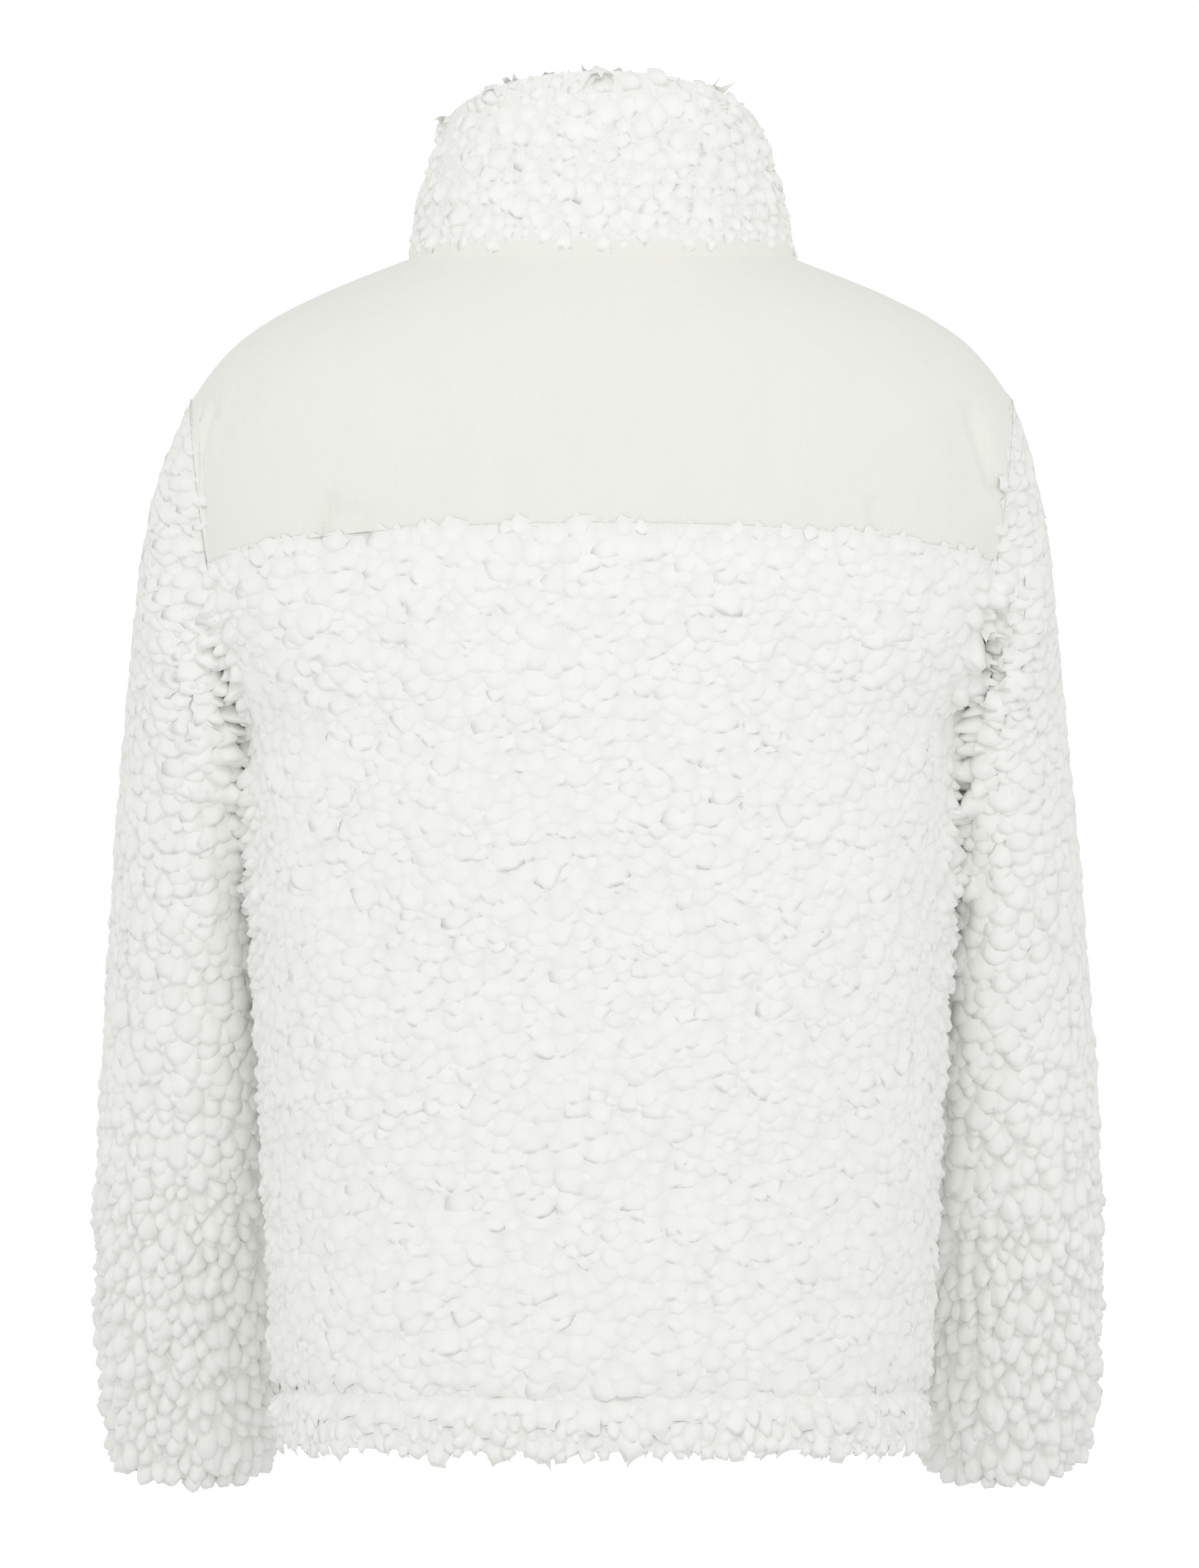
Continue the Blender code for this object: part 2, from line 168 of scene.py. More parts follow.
def place(tree, scale):
    """Object coordinates, stretched."""
    here = add(tree, "ShaderNodeTexCoord", output=3)
    return add(tree, "ShaderNodeMapping", inputs={"Vector": here, "Scale": scale})


def grain(tree, scale, detail=2.0):
    """Noise from 0 to 1, with this many grains to the metre along X, Y and Z."""
    inputs = {"Vector": place(tree, scale), "Scale": 1.0, "Detail": detail}
    return add(tree, "ShaderNodeTexNoise", inputs=inputs)


def bump(tree, shader, height, distance, strength=1.0):
    inputs = {"Height": height, "Distance": distance, "Strength": strength}
    normal = add(tree, "ShaderNodeBump", inputs=inputs)
    tree.links.new(normal.socket, shader.inputs["Normal"])


# Sherpa colours: the darker one is painted shade, laid on the roots of the locks and in the
# hollows of the backing.
PILE_PAINTED_SHADE = (0.92, 0.92, 0.885, 1.0)
PILE_LIGHT = (0.98, 0.98, 0.955, 1.0)
YOKE_SHADE = (0.875, 0.875, 0.815, 1.0)
YOKE_LIGHT = (0.915, 0.918, 0.865, 1.0)


def pile_material():
    """Curled pile with painted shade: a little darker and warmer at its roots, where shade falls
    between the locks, and varied in tone at random from lock to lock.
    """
    material, tree, shader = new_material("sherpa_pile", 0.9, 0.2)
    rise = add(tree, "ShaderNodeAttribute", {"attribute_name": "rise"}, output=2)
    tone = add(tree, "ShaderNodeAttribute", {"attribute_name": "tone"}, output=2)
    # Painted shade: darker towards the foot of each lock, plus a random tone from lock to lock.
    light = (rise * 1.1 - 0.1 + (tone - 0.5) * 0.5).clamped()
    colour = blend(tree, light, PILE_PAINTED_SHADE, PILE_LIGHT)
    tree.links.new(colour.socket, shader.inputs["Base Color"])
    fibres = grain(tree, (900, 900, 600)) + grain(tree, (320, 320, 220)) * 1.5
    bump(tree, shader, fibres, 0.0004, 0.5)
    return material


def backing_material():
    """The cloth the pile stands on, with painted shade: darker in the hollows of its curly bump.
    """
    material, tree, shader = new_material("sherpa_backing", 0.95, 0.2)
    curls = grain(tree, (260, 260, 260))
    # Painted shade: the colour follows the curls' height, darker where they dip.
    colour = blend(tree, curls, PILE_PAINTED_SHADE, PILE_LIGHT)
    tree.links.new(colour.socket, shader.inputs["Base Color"])
    bump(tree, shader, curls + grain(tree, (900, 900, 900)) * 0.4, 0.0015)
    return material


def smooth_fleece_material(name, streaks):
    """Brushed cloth, with a fine nap that runs down it."""
    material, tree, shader = new_material(name, 0.85, 0.3)
    nap = grain(tree, (streaks, streaks, streaks * 0.06), 3.0)
    mottle = grain(tree, (45, 45, 18))
    light = (nap * 0.6 + mottle * 0.6 - 0.1).clamped()
    colour = blend(tree, light, YOKE_SHADE, YOKE_LIGHT)
    tree.links.new(colour.socket, shader.inputs["Base Color"])
    fuzz = grain(tree, (2200, 2200, 900))
    bump(tree, shader, nap + fuzz * 0.5, 0.0004, 0.7)
    return material


# Cloth.


def middle_of(name, point):
    """The middle of the space that a piece goes round, level with a point."""
    if name.startswith("sleeve"):
        down = (point.z - ARMHOLE_MIDDLE.z) / (CUFF_MIDDLE.z - ARMHOLE_MIDDLE.z)
        on_left = ARMHOLE_MIDDLE.lerp(CUFF_MIDDLE, min(max(down, 0.0), 1.0))
        side = LEFT if name.endswith("left") else RIGHT
        return Vector((on_left.x * side, on_left.y, on_left.z))
    if name.endswith("yoke"):
        return TORSO_MIDDLE
    return Vector((0, TORSO_MIDDLE.y, point.z))


def facing(name, face):
    """How squarely a face of a piece looks outwards."""
    middle = face.calc_center_median()
    return face.normal.dot((middle - middle_of(name, middle)).normalized())


# Creases across a face of the torso, as lines seen square on.
Crease = namedtuple("Crease", "face x0 z0 x1 z1 depth half_width")
CREASES = [
    Crease(BACK, 0.1425, -0.134, 0.1510, -0.158, 0.0036, 0.0032),
    Crease(BACK, 0.1360, -0.141, 0.1375, -0.147, 0.0018, 0.0025),
    Crease(BACK, 0.1300, -0.140, 0.1260, -0.166, 0.0020, 0.0070),
    Crease(BACK, -0.1435, -0.136, -0.1440, -0.152, 0.0024, 0.0030),
    Crease(BACK, -0.1975, -0.086, -0.2115, -0.131, 0.0042, 0.0038),
    Crease(BACK, -0.1890, -0.088, -0.2010, -0.140, 0.0026, 0.0100),
    Crease(BACK, 0.2085, -0.080, 0.2060, -0.092, 0.0014, 0.0028),
    Crease(FRONT, 0.1850, -0.090, 0.2060, -0.166, 0.0045, 0.0090),
    Crease(FRONT, -0.1300, -0.132, -0.1420, -0.160, 0.0020, 0.0040),
    Crease(FRONT, 0.1480, -0.130, 0.1510, -0.158, 0.0016, 0.0035),
]


def crease_depth(face, point):
    """How far the creases press a point of the torso in."""
    depth = 0.0
    for crease in CREASES:
        if crease.face != face:
            continue
        run = Vector((crease.x1 - crease.x0, crease.z1 - crease.z0))
        off = Vector((point.x - crease.x0, point.z - crease.z0))
        along = off.dot(run) / run.length_squared
        aside = abs(off.x * run.y - off.y * run.x) / run.length
        fade = ramp((along + 0.2) / 0.4) * ramp((1.2 - along) / 0.4)
        depth += crease.depth * fade * bell(aside, crease.half_width)
    return depth


PILE_DEPTH = {"back_body": 0.0018, "front_body": 0.0018, "collar": 0.0018}
PILE_DEPTH |= {"sleeve_left": 0.0024, "sleeve_right": 0.0024}
# How many times a piece's faces are halved.
FINENESS = {"back_yoke": 3, "front_yoke": 3, "neck_band": 3}
USUAL_FINENESS = 2
SHARP = math.radians(50)
FLAT_ENOUGH = math.radians(40)
SAME_PLACE = 1e-5

# A piece's faces: its outer layer, its inner layer, and the walls of its cut edges.
OUTER, INNER, WALL = 1, 2, 3

# How near another piece must be for a face against it to be a seam's wall. A sleeve's walls
# slant away from the body, so they get more, but only this near the middle of the armhole.
SEWN_REACH = 0.0018
ARMHOLE_SEWN_REACH = 0.0042
ARMHOLE_REACH = 0.097
SQUARELY = 0.7


def sewn_reach(name, point):
    """How near another piece must be for a face against it to be a seam's wall."""
    from_armhole = Vector((abs(point.x), point.y, point.z)) - ARMHOLE_MIDDLE
    if name.startswith("sleeve"):
        return ARMHOLE_SEWN_REACH if from_armhole.length < ARMHOLE_REACH else 0.0
    return SEWN_REACH


def label_faces(shape, name):
    """Tells the two layers, the largest runs without a seam or a sharp edge, from the walls."""
    label = shape.faces.layers.int.new("layer")
    others = bmesh.new()
    for other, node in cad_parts.items():
        if other != name:
            others.from_mesh(node.data)
    sewn_to = bvhtree.BVHTree.FromBMesh(others)
    others.free()
    for face in shape.faces:
        middle = face.calc_center_median()
        near = sewn_to.find_nearest(middle, sewn_reach(name, middle))[0]
        if near and face.normal.dot((near - middle).normalized()) > SQUARELY:
            face[label] = WALL
    runs = []
    for face in shape.faces:
        if face[label]:
            continue
        face[label] = WALL
        run = [face]
        for reached in run:
            for edge in reached.edges:
                if edge.calc_face_angle(0.0) > SHARP:
                    continue
                for beyond in edge.link_faces:
                    if not beyond[label]:
                        beyond[label] = WALL
                        run.append(beyond)
        runs.append(run)
    layers = sorted(runs, key=lambda run: sum(face.calc_area() for face in run))[-2:]
    layers.sort(key=lambda run: sum(facing(name, face) for face in run))
    for run, kind in zip(layers, (INNER, OUTER)):
        for face in run:
            face[label] = kind


def cloth(name, material):
    """A solid's form as smooth cloth, drawn in by the depth of its pile, and creased."""
    shape = bmesh.new()
    shape.from_mesh(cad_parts[name].data)
    bmesh.ops.remove_doubles(shape, verts=shape.verts, dist=SAME_PLACE)
    limits = {"angle_face_threshold": FLAT_ENOUGH, "angle_shape_threshold": math.pi}
    bmesh.ops.join_triangles(shape, faces=shape.faces, **limits)
    label_faces(shape, name)
    creased = shape.edges.layers.float.new("crease_edge")
    label = shape.faces.layers.int["layer"]
    for edge in shape.edges:
        labels = {face[label] for face in edge.link_faces}
        if len(labels) > 1 or edge.calc_face_angle(0.0) > SHARP:
            edge[creased] = 1.0
            edge.smooth = False
    edges = edges_of(shape, name)
    mesh = bpy.data.meshes.new(name)
    shape.to_mesh(mesh)
    shape.free()
    piece = bpy.data.objects.new("cloth_" + name, mesh)
    bpy.context.scene.collection.objects.link(piece)
    finer = piece.modifiers.new("finer", "SUBSURF")
    finer.levels = finer.render_levels = FINENESS.get(name, USUAL_FINENESS)
    apply_modifiers(piece)
    press(piece.data, name, edges)
    piece.data.shade_smooth()
    piece.data.materials.clear()
    piece.data.materials.append(material)
    return piece, edges


# Where the pile ends: at seams with smooth cloth, and at the open rims of the hem, the cuffs
# and the collar. Each is a tree of points to find the nearest in.
Edges = namedtuple("Edges", "seams rims")
EDGE_STEP = 0.004
COLLAR_MIDDLE = 0.02


def at_rim(name, point):
    """Whether a place on a piece's cut edge is on an open rim."""
    if name.endswith("body"):
        return point.z < HEM + 0.004
    if name.startswith("sleeve"):
        return point.z < ARMHOLE_MIDDLE.z * 3
    return name == "collar" and point.z > COLLAR_MIDDLE


def meets_smooth_cloth(name, point, walls):
    """Whether a place on a pile piece's cut edge is sewn to a yoke or to the neck band."""
    if name.endswith("body"):
        return max(wall.normal.z for wall in walls) > SQUARELY
    if name.startswith("sleeve"):
        return point.z > YOKE_CORNER.z
    return name == "collar" and point.z < COLLAR_MIDDLE


def tree_of(points):
    tree = kdtree.KDTree(len(points))
    for number, point in enumerate(points):
        tree.insert(point, number)
    tree.balance()
    return tree


def edges_of(shape, name):
    """Points along a piece's sharp edges, as trees for its seams and its rims."""
    seams, rims = [], []
    for edge in shape.edges:
        if edge.smooth:
            continue
        start, end = (vert.co.copy() for vert in edge.verts)
        middle = (start + end) / 2
        steps = max(1, round((end - start).length / EDGE_STEP))
        points = [start.lerp(end, step / steps) for step in range(steps)]
        if at_rim(name, middle):
            rims += points
        elif meets_smooth_cloth(name, middle, edge.link_faces):
            seams += points
    return Edges(tree_of(seams), tree_of(rims))


def distance(tree, point, otherwise=1.0):
    """How far a point is from the nearest in a tree, which may be empty."""
    found = tree.find(point)[2]
    return otherwise if found is None else found


def apply_modifiers(piece):
    graph = bpy.context.evaluated_depsgraph_get()
    mesh = bpy.data.meshes.new_from_object(piece.evaluated_get(graph), depsgraph=graph)
    piece.modifiers.clear()
    piece.data = mesh


SEAM_CLOSE = 0.0005
UNDER_ARM_CLOSE = 0.0015
ARMPIT = -0.263
UNDER_YOKE = YOKE_CORNER.z - 0.002
GROOVE_DEPTH = 0.0022
GROOVE_REACH = 0.006
NECK_SEAM_REACH = 0.010


def closing(name, point):
    """How far a seam's wall moves to meet its neighbour: more where sleeve and body part."""
    at_armhole = name.endswith("body") or name.startswith("sleeve")
    if at_armhole and ARMPIT < point.z < UNDER_YOKE:
        return UNDER_ARM_CLOSE
    return SEAM_CLOSE


def drawn_in(name, point, edges):
    """How far the outer layer lies inside the solid. The collar's meets the neck band level."""
    depth = PILE_DEPTH.get(name, 0.0)
    if name == "collar":
        depth *= ramp(distance(edges.seams, point) / NECK_SEAM_REACH)
    return depth


def press(mesh, name, edges):
    """Draws the outer layer in by the pile's depth, presses creases in and closes the seams."""
    off = {kind: [Vector() for _ in mesh.vertices] for kind in (OUTER, INNER, WALL)}
    for face, label in zip(mesh.polygons, mesh.attributes["layer"].data):
        for number in face.vertices:
            off[label.value][number] += face.normal
    face = BACK if name.startswith("back") else FRONT
    for vert, outer, inner, wall in zip(mesh.vertices, off[OUTER], off[INNER], off[WALL]):
        # Both layers go in together, so the wall keeps its thickness.
        pressed = crease_depth(face, vert.co) if name.endswith(("yoke", "body")) else 0.0
        groove = GROOVE_DEPTH * bell(vert.co.z - HEM_STITCHING, GROOVE_REACH)
        if not name.endswith("body"):
            groove = 0.0
        if wall.length > 0 and not at_rim(name, vert.co):
            vert.co += wall.normalized() * closing(name, vert.co)
        if outer.length > 0:
            drawn = drawn_in(name, vert.co, edges)
            vert.co -= outer.normalized() * (drawn + pressed + groove)
        elif inner.length > 0:
            vert.co += inner.normalized() * pressed
    mesh.update()


# Pile.

# A lock lies along +Y from its root to its tip, and is 1 long, 1 wide and 1 high. Soft 0 is a
# ball and soft 1 a low swelling. Sunk is how far its rim goes into the cloth.
Lock = namedtuple("Lock", "soft root tip lift overhang twist lumps sunk")
LOCKS = {
    "curl": Lock(0.90, 0.95, 1.00, 0.20, 0.18, 0.12, 0.42, 0.28),
    "drop": Lock(0.55, 0.75, 1.00, 0.40, 0.22, 0.12, 0.40, 0.40),
    "clump": Lock(0.95, 0.95, 0.95, 0.20, 0.10, 0.15, 0.60, 0.85),
    "nub": Lock(0.50, 0.75, 1.00, 0.50, 0.25, 0.15, 0.40, 0.30),
    "tuft": Lock(0.40, 0.85, 0.30, 0.50, 0.20, 0.20, 0.30, 0.30),
}
# Every pile is one kind of lock with some nubs and tufts among them.
MINGLED = ("nub", "tuft")
VARIANTS = 6
SHARE_BEHIND_ROOT = 0.3
SHARE_PAST_ROOT = 1 - SHARE_BEHIND_ROOT
OPEN_UNDER = -0.15
LUMPS_TO_A_LOCK = 2.1
RIGHT_ANGLE = math.pi / 2


def lock_mesh(kind, number):
    """One lock, open underneath where it meets the cloth."""
    lock = LOCKS[kind]
    shape = bmesh.new()
    bmesh.ops.create_icosphere(shape, subdivisions=2, radius=1.0)
    # Rise is how high a vertex stands in the lock; the pile material paints shade where it is
    # low.
    rise = shape.verts.layers.float.new("rise")
    under = [face for face in shape.faces if face.calc_center_median().z < OPEN_UNDER]
    bmesh.ops.delete(shape, geom=under, context="FACES")
    for vert in shape.verts:
        ball = vert.co.normalized()
        out = math.acos(ball.z) / RIGHT_ANGLE
        spread = mix(1.0, out / max(math.sqrt(1 - min(ball.z**2, 1.0)), 0.01), lock.soft)
        height = mix(ball.z, math.cos(min(out, 1.0) * RIGHT_ANGLE) ** 2, lock.soft)
        height -= lock.sunk * out**4
        unlike = Vector((number * 7.1, 3.3, 0.7))
        lump = 1 + lock.lumps * noise.noise(ball * LUMPS_TO_A_LOCK + unlike)
        along = (ball.y * spread * lump + 1) / 2
        broad = mix(lock.root, 1.0, ramp(along * 1.4)) * mix(1.0, lock.tip, ramp(along * 2 - 1))
        swing = lock.twist * math.sin(number * 2.4)
        vert.co.x = ball.x * spread * broad * lump * 0.5 + swing * along**2
        vert.co.y = along - SHARE_BEHIND_ROOT + lock.overhang * max(height, 0.0)
        vert.co.z = height * lump * (1 + lock.lift * (along - 0.5))
        vert[rise] = min(max(height, 0.0), 1.0)
    mesh = bpy.data.meshes.new(f"lock_{kind}_{number}")
    shape.to_mesh(mesh)
    shape.free()
    mesh.shade_smooth()
    return mesh


def lock_collection(kind):
    """Unlike locks of one kind, then nubs, then tufts, in the order of their names."""
    locks = bpy.data.collections.new("locks_" + kind)
    for each in (kind, *MINGLED):
        for number in range(VARIANTS):
            mesh = lock_mesh(each, number)
            locks.objects.link(bpy.data.objects.new(mesh.name, mesh))
    return locks


# What a place on the cloth says about the pile there: a lock's width, length and height, the
# way it falls, and the shares that are nubs and pointed tufts.
Growth = namedtuple("Growth", "size fall nubs tufts")
DOWN = Vector((0, 0, -1))
PATCHES = 28  # to the metre
RIM_REACH = 0.012
TIP_PAST_RIM = 0.0028
SLEEVE_TOP = -0.082
INSIDE_REACH = 0.035

# Locks' widths, lengths and heights, from place to place.
RIM_LOCK = Vector((0.0080, 0.0070, 0.0034))
BODY_LOCK = Vector((0.0185, 0.0155, 0.0015))
HEM_LOCK = Vector((0.0090, 0.0140, 0.0023))
SHOULDER_LOCK = Vector((0.0210, 0.0110, 0.0013))
ELBOW_LOCK = Vector((0.0170, 0.0180, 0.0022))
CUFF_LOCK = Vector((0.0125, 0.0175, 0.0058))
COLLAR_LOCK = Vector((0.0150, 0.0140, 0.0010))
COLLAR_SIDE_LOCK = Vector((0.0115, 0.0125, 0.0022))
COLLAR_RIM_LOCK = Vector((0.0095, 0.0110, 0.0034))
SLEEVE_FALL = Vector((0, -0.34, -0.94))


def bears_pile(name, kind, point, off_rim):
    """The outside of sherpa bears pile, and the rim and the top of the inside of the collar."""
    if name == "collar":
        return kind == OUTER or (at_rim(name, point) and off_rim < INSIDE_REACH)
    return kind == OUTER and (name.endswith("body") or point.z < SLEEVE_TOP)


def patchy(point, spread):
    """A number about 1 that wanders from patch to patch."""
    return 1 + spread * noise.noise(point * PATCHES)


def rim_share(off_rim):
    return ramp(1 - off_rim / RIM_REACH)


def share_below(height, start, over):
    """0 down to a height, and 1 from this far below it."""
    return ramp((start - height) / over)


def smaller_at_rim(size, off_rim):
    return RIM_LOCK.lerp(size, ramp((off_rim + 0.003) / 0.006))


def trimmed(size, off_rim):
    """A lock's size, kept from hanging far past a rim."""
    size = smaller_at_rim(size, off_rim)
    size.y = min(size.y, (off_rim + TIP_PAST_RIM) / SHARE_PAST_ROOT + 0.002)
    return size


def body_side(height):
    """Half the body's width, which grows from the hem and faster above the waist."""
    return 0.1764 + 0.042 * (height + 0.63) + 0.132 * max(height + 0.30, 0.0)


def sleeve_inner_side(height):
    """How far the sleeve's inner side is from the middle of the body."""
    return 0.173 + 0.104 * max(height + 0.45, 0.0)


def beside_arm(past, height):
    """How much taller locks stand where body and sleeve face each other, most under the arm."""
    reach = ramp(past / 0.008) * share_below(height, -0.16, 0.03)
    tall = mix(0.0034, 0.0080, ramp((height + 0.42) / 0.10))
    tallest = 0.006 * bell(height + 0.250, 0.034)
    return (tall + tallest) * reach


def grow_body(point, off_rim):
    """Low curls that stand tall beside the sleeves, and lie low along the hem's stitching."""
    in_hem = share_below(point.z, HEM_STITCHING - 0.002, 0.010)
    size = BODY_LOCK.lerp(HEM_LOCK, in_hem)
    size *= patchy(point, 0.25)
    size.z *= patchy(point * 0.6, 0.7)
    size *= mix(0.5, 1.0, ramp(abs(point.z - HEM_STITCHING) / 0.008))
    past = abs(point.x) - body_side(point.z) + 0.010
    size.z += beside_arm(past, point.z) * ramp(off_rim / 0.02)
    return Growth(trimmed(size, off_rim), DOWN, 0.05, mix(0.04, 0.25, in_hem))


def grow_sleeve(point, off_rim):
    """Flat waves at the shoulder, then drops that stand further out towards the cuff."""
    down = share_below(point.z, -0.19, 0.16)
    low = share_below(point.z, -0.38, 0.20)
    size = SHOULDER_LOCK.lerp(ELBOW_LOCK, down).lerp(CUFF_LOCK, low)
    size *= patchy(point, 0.25)
    past = sleeve_inner_side(point.z) + 0.016 - abs(point.x)
    size.z += beside_arm(past, point.z) * ramp(off_rim / 0.03)
    tufts = mix(0.02, 0.20, rim_share(off_rim)) * down
    return Growth(trimmed(size, off_rim), SLEEVE_FALL, mix(0.03, 0.35, low), tufts)


def grow_collar(point, off_rim):
    """Loose low clumps, smaller at the sides and along the rim."""
    side = ramp((abs(point.x) - 0.060) / 0.03)
    size = COLLAR_LOCK.lerp(COLLAR_SIDE_LOCK, side)
    size = size.lerp(COLLAR_RIM_LOCK, rim_share(off_rim))
    size = smaller_at_rim(size * patchy(point, 0.3), off_rim)
    tufts = mix(0.05, 0.35, rim_share(off_rim))
    return Growth(size, DOWN, mix(0.05, 0.30, side), tufts)


Pile = namedtuple("Pile", "kind spacing mess grow")
PILES = {
    "back_body": Pile("curl", 0.0068, 45, grow_body),
    "front_body": Pile("curl", 0.0068, 45, grow_body),
    "sleeve_left": Pile("drop", 0.0074, 22, grow_sleeve),
    "sleeve_right": Pile("drop", 0.0074, 22, grow_sleeve),
    "collar": Pile("clump", 0.0070, 80, grow_collar),
}


# Beside a seam with smooth cloth, locks are this share of their size.
SHORT_SHARE = 0.6
SHORT_REACH = 0.010


def ground_of(base, name, grow, edges):
    """The part of a cloth that pile grows on, with each vertex's growth in attributes."""
    shape = bmesh.new()
    shape.from_mesh(base.data)
    nubs = shape.verts.layers.float.new("pile_nubs")
    tufts = shape.verts.layers.float.new("pile_tufts")
    size = shape.verts.layers.float_vector.new("pile_size")
    fall = shape.verts.layers.float_vector.new("pile_fall")
    for vert in shape.verts:
        off_rim = distance(edges.rims, vert.co)
        growth = grow(vert.co, off_rim)
        short = mix(SHORT_SHARE, 1.0, ramp(distance(edges.seams, vert.co) / SHORT_REACH))
        outwards = (vert.co - middle_of(name, vert.co)).normalized()
        vert[nubs] = growth.nubs
        vert[tufts] = growth.tufts
        vert[size] = growth.size * short
        # On a rim the pile rolls in over the edge.
        vert[fall] = growth.fall - outwards * rim_share(off_rim)
    label = shape.faces.layers.int["layer"]
    bare = []
    for face in shape.faces:
        middle = face.calc_center_median()
        if not bears_pile(name, face[label], middle, distance(edges.rims, middle)):
            bare.append(face)
    bmesh.ops.delete(shape, geom=bare, context="FACES")
    mesh = bpy.data.meshes.new("ground_" + name)
    shape.to_mesh(mesh)
    shape.free()
    return mesh


# Sockets of the node for random values, by the kind of value.
FLOAT_MIN, FLOAT_MAX, FLOAT_SEED = 2, 3, 8
CHANCE_FLOAT, CHANCE_WHOLE = 1, 2
WHOLE_MIN, WHOLE_MAX = 4, 5
SMALLEST, LARGEST = 0.65, 1.3
CROWDING = 8


def pile_tree(name, pile, locks, seed):
    """The nodes that scatter locks on a cloth, turn them to fall with it and make them real."""
    tree = bpy.data.node_groups.new("pile_" + name, "GeometryNodeTree")
    tree.interface.new_socket("Geometry", in_out="INPUT", socket_type="NodeSocketGeometry")
    tree.interface.new_socket("Geometry", in_out="OUTPUT", socket_type="NodeSocketGeometry")
    cloth_in = add(tree, "NodeGroupInput")

    def attribute(kind, of):
        return add(tree, "GeometryNodeInputNamedAttribute", {"data_type": kind}, {"Name": of})

    def chance(low, high, salt):
        settings = {"data_type": "FLOAT"}
        inputs = {FLOAT_MIN: low, FLOAT_MAX: high, FLOAT_SEED: seed + salt}
        return add(tree, "FunctionNodeRandomValue", settings, inputs, CHANCE_FLOAT)

    scattered = tree.nodes.new("GeometryNodeDistributePointsOnFaces")
    scattered.distribute_method = "POISSON"
    tree.links.new(cloth_in.socket, scattered.inputs["Mesh"])
    scattered.inputs["Distance Min"].default_value = pile.spacing
    scattered.inputs["Density Max"].default_value = CROWDING / pile.spacing**2
    scattered.inputs["Seed"].default_value = seed
    points = Wire(tree, scattered.outputs["Points"])
    off_cloth = Wire(tree, scattered.outputs["Normal"])

    standing = add(
        tree, "FunctionNodeAlignRotationToVector", {"axis": "Z"}, {"Vector": off_cloth}
    )
    falling = add(
        tree,
        "FunctionNodeAlignRotationToVector",
        {"axis": "Y", "pivot_axis": "Z"},
        {"Rotation": standing, "Vector": attribute("FLOAT_VECTOR", "pile_fall")},
    )
    stray = math.radians(pile.mess)
    turned = add(
        tree,
        "FunctionNodeAxisAngleToRotation",
        inputs={"Axis": (0, 0, 1), "Angle": chance(-stray, stray, 1)},
    )
    rotation = add(
        tree,
        "FunctionNodeRotateRotation",
        {"rotation_space": "LOCAL"},
        {"Rotation": falling, "Rotate By": turned},
    )
    size = add(
        tree,
        "ShaderNodeVectorMath",
        {"operation": "SCALE"},
        {"Vector": attribute("FLOAT_VECTOR", "pile_size"), "Scale": chance(SMALLEST, LARGEST, 2)},
    )
    choice = add(
        tree,
        "FunctionNodeRandomValue",
        {"data_type": "INT"},
        {WHOLE_MIN: 0, WHOLE_MAX: VARIANTS - 1, FLOAT_SEED: seed + 3},
        CHANCE_WHOLE,
    )
    draw = chance(0.0, 1.0, 5)
    tufts = attribute("FLOAT", "pile_tufts")
    kind = (tufts > draw) + (tufts + attribute("FLOAT", "pile_nubs") > draw)
    picked = add(
        tree,
        "GeometryNodeCollectionInfo",
        inputs={"Collection": locks, "Separate Children": True, "Reset Children": True},
    )
    standing_locks = add(
        tree,
        "GeometryNodeInstanceOnPoints",
        inputs={
            "Points": points,
            "Instance": picked,
            "Pick Instance": True,
            "Instance Index": choice + kind * VARIANTS,
            "Rotation": rotation,
            "Scale": size,
        },
    )
    toned = add(
        tree,
        "GeometryNodeStoreNamedAttribute",
        {"data_type": "FLOAT", "domain": "INSTANCE"},
        {"Geometry": standing_locks, "Name": "tone", "Value": chance(0.0, 1.0, 4)},
    )
    real = add(tree, "GeometryNodeRealizeInstances", inputs={"Geometry": toned})
    tree.links.new(real.socket, tree.nodes.new("NodeGroupOutput").inputs[0])
    return tree


def pile_on(name, base, edges, locks, material, seed):
    """The pile of one piece, as one mesh of many locks."""
    pile = PILES[name]
    ground = ground_of(base, name, pile.grow, edges)
    piece = bpy.data.objects.new("pile_" + name, ground)
    bpy.context.scene.collection.objects.link(piece)
    scatter = piece.modifiers.new("scatter", "NODES")
    scatter.node_group = pile_tree(name, pile, locks, seed)
    apply_modifiers(piece)
    piece.data.materials.clear()
    piece.data.materials.append(material)
    piece.data.shade_smooth()
    return piece


# Flat sizes of the cut, and the area of each in square metres.
Cut = namedtuple("Cut", "width length area")
CUTS = {
    "back_body": Cut(0.59, 0.49, 0.255),
    "front_body": Cut(0.59, 0.49, 0.255),
    "back_yoke": Cut(0.60, 0.20, 0.090),
    "front_yoke": Cut(0.60, 0.16, 0.068),
    "sleeve_left": Cut(0.42, 0.60, 0.190),
    "sleeve_right": Cut(0.42, 0.60, 0.190),
    "neck_band": Cut(0.60, 0.010, 0.0060),
    "collar": Cut(0.58, 0.095, 0.050),
}


def dress():
    """Makes every piece and attaches each to the root."""
    backing = backing_material()
    pile_finish = pile_material()
    fleece = smooth_fleece_material("smooth_fleece", 420)
    tape = smooth_fleece_material("neck_tape", 700)
    finishes = {"back_yoke": fleece, "front_yoke": fleece, "neck_band": tape}
    locks = {pile.kind: lock_collection(pile.kind) for pile in PILES.values()}
    for seed, (name, cut) in enumerate(CUTS.items()):
        base, edges = cloth(name, finishes.get(name, backing))
        riders = []
        if name in PILES:
            kind = PILES[name].kind
            riders.append(pile_on(name, base, edges, locks[kind], pile_finish, seed * 10))
        for piece in [base, *riders]:
            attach(piece, "root")
        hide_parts(name)


# The studio.

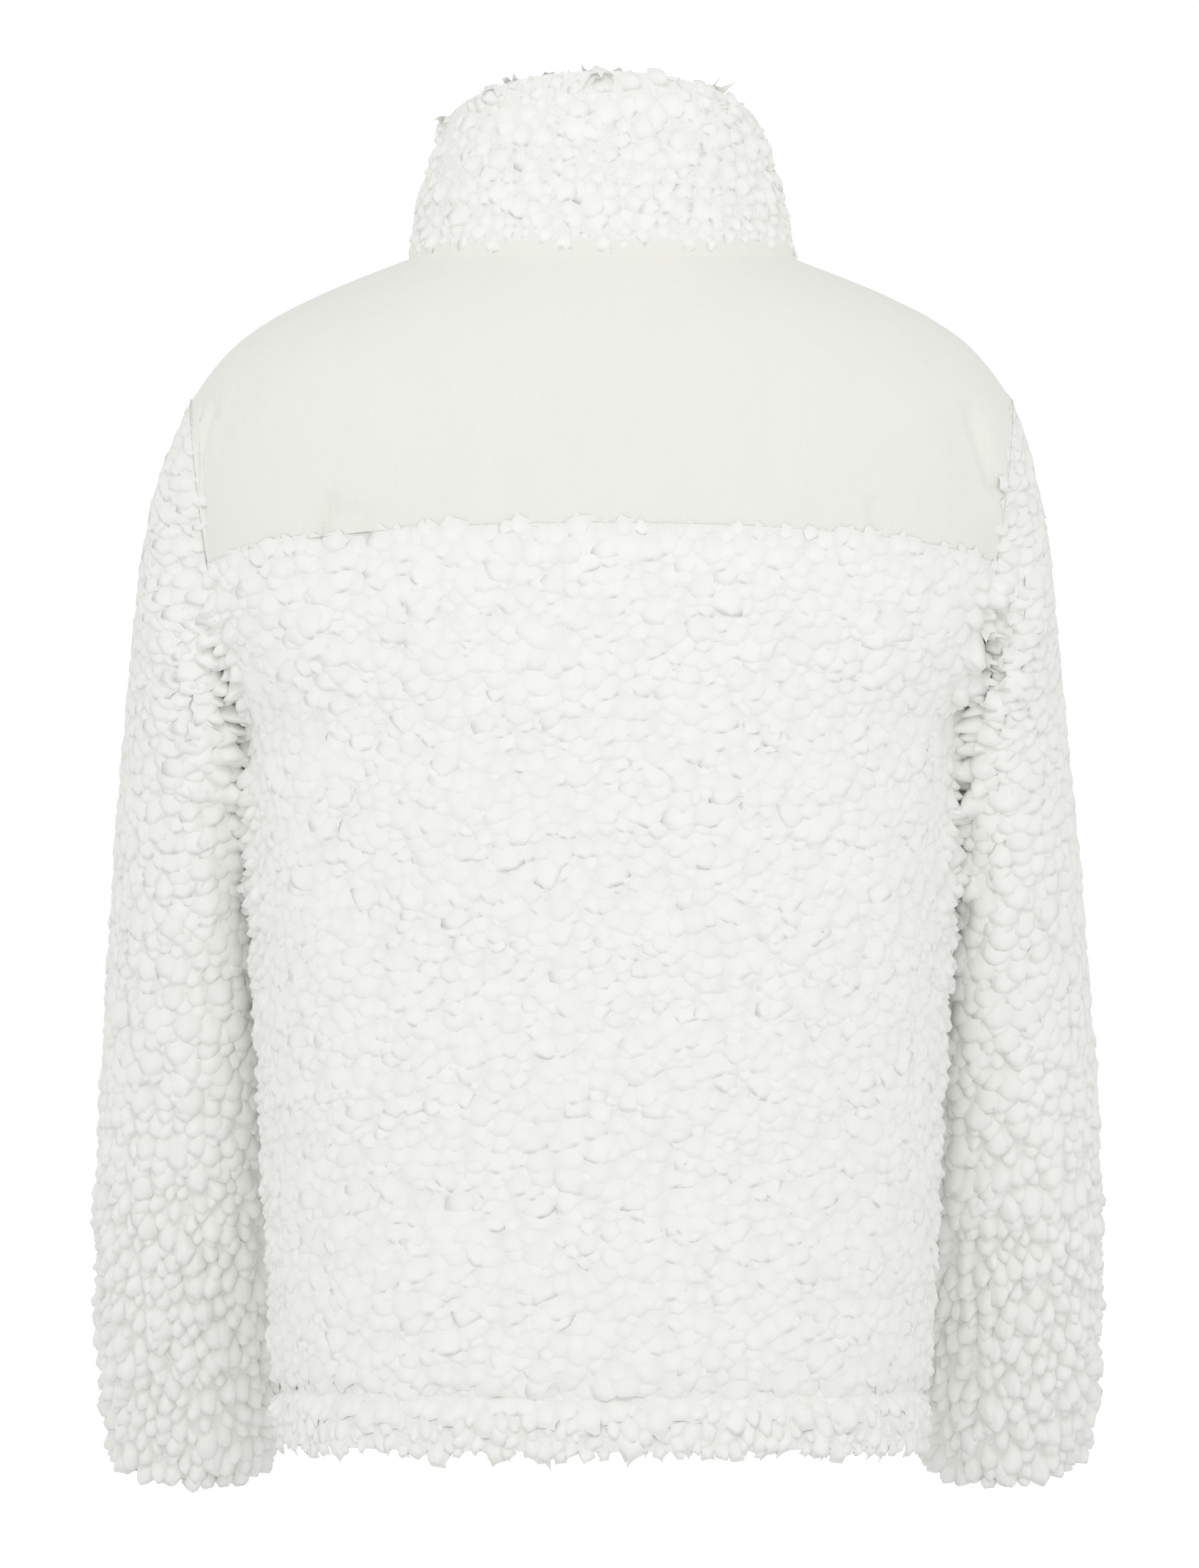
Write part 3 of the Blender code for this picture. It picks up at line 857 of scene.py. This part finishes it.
VIEW_HEIGHT = 0.848
VIEW_MIDDLE = Vector((0.0012, -0.02, -0.287))
CAMERA_DISTANCE = 6.0
SENSOR = 36.0
FLOOR_DROP = 0.30
FLOOR_RADIUS = 3.2
FLOOR_SHADE = (0.90, 0.90, 0.90, 1)
FLOOR_LIGHT = (0.94, 0.94, 0.94, 1)
SKY_LIGHT, SKY_LOST_BELOW, SKY_LOST_ABOVE = 1.07, 0.56, 0.38
KEY_SIZE = 1.6
KEY_POWER = 16
KEY_PLACE = Vector((0.0, 2.6, 1.7))


def studio():
    """A camera square to the back, white all round, a soft key light and a pale floor."""
    scene = bpy.context.scene
    scene.view_settings.view_transform = "Standard"
    lens = bpy.data.cameras.new("camera")
    lens.sensor_width = SENSOR
    lens.lens = SENSOR * CAMERA_DISTANCE / VIEW_HEIGHT
    lens.clip_end = 50
    camera = bpy.data.objects.new("camera", lens)
    scene.collection.objects.link(camera)
    camera.location = VIEW_MIDDLE + Vector((0, CAMERA_DISTANCE, 0))
    camera.rotation_euler = (math.radians(90), 0, math.radians(180))
    scene.camera = camera

    world = bpy.data.worlds.new("studio")
    scene.world = world
    world.use_nodes = True
    sky = world.node_tree
    direction = add(sky, "ShaderNodeTexCoord", output=0)
    up = add(sky, "ShaderNodeSeparateXYZ", inputs={0: direction}, output=2)
    below = ((-0.10 - up) * 3.0).clamped()
    above = ((up - 0.10) * 3.0).clamped()
    light = SKY_LIGHT - below * SKY_LOST_BELOW - above * SKY_LOST_ABOVE
    background = sky.nodes["Background"]
    sky.links.new(light.socket, background.inputs["Strength"])
    background.inputs["Color"].default_value = (1.0, 1.0, 1.0, 1.0)

    key = bpy.data.lights.new("key", "AREA")
    key.shape = "DISK"
    key.size = KEY_SIZE
    key.energy = KEY_POWER
    lamp = bpy.data.objects.new("key", key)
    scene.collection.objects.link(lamp)
    lamp.location = KEY_PLACE
    lamp.rotation_euler = (VIEW_MIDDLE - lamp.location).to_track_quat("-Z", "Y").to_euler()

    shape = bmesh.new()
    bmesh.ops.create_circle(shape, cap_ends=True, segments=96, radius=FLOOR_RADIUS)
    bmesh.ops.translate(shape, verts=shape.verts, vec=(0, 0, cad_low.z - FLOOR_DROP))
    mesh = bpy.data.meshes.new("floor")
    shape.to_mesh(mesh)
    shape.free()
    floor = bpy.data.objects.new("floor", mesh)
    scene.collection.objects.link(floor)
    material, tree, shader = new_material("floor", 0.9, 0.0)
    paint = blend(tree, grain(tree, (3, 3, 3)), FLOOR_SHADE, FLOOR_LIGHT)
    tree.links.new(paint.socket, shader.inputs["Base Color"])
    mesh.materials.append(material)


dress()
studio()
